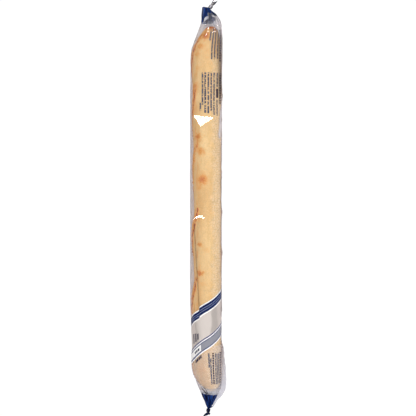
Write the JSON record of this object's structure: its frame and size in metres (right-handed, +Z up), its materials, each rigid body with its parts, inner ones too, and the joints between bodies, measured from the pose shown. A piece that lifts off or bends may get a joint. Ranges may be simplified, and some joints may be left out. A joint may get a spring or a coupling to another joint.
{
  "type": "wrapped baguette",
  "caption": "Long slim part-baked baguette with diagonal scores, lying on its flank in a clear printed film bag that is gathered and clipped at both ends.",
  "frame": {"origin": "under the middle of the pack's outline, on the surface it lies on", "axes": "+X along the pack from its head (bright clip and tuft) to its tail (fan), -Y the loaf's scored top, +Y its base and the film's back seam, +Z up from the flank it lies on"},
  "size_m": [0.6382, 0.0546, 0.0472],
  "materials": {
    "crust": "matte",
    "film": "gloss",
    "clip_bright": "satin",
    "clip_dark": "satin"
  },
  "bodies": {
    "root": {"loaf": "crust", "film_bag": "film", "head_clip": "clip_bright", "tail_clip": "clip_dark"}
  },
  "joints": []
}
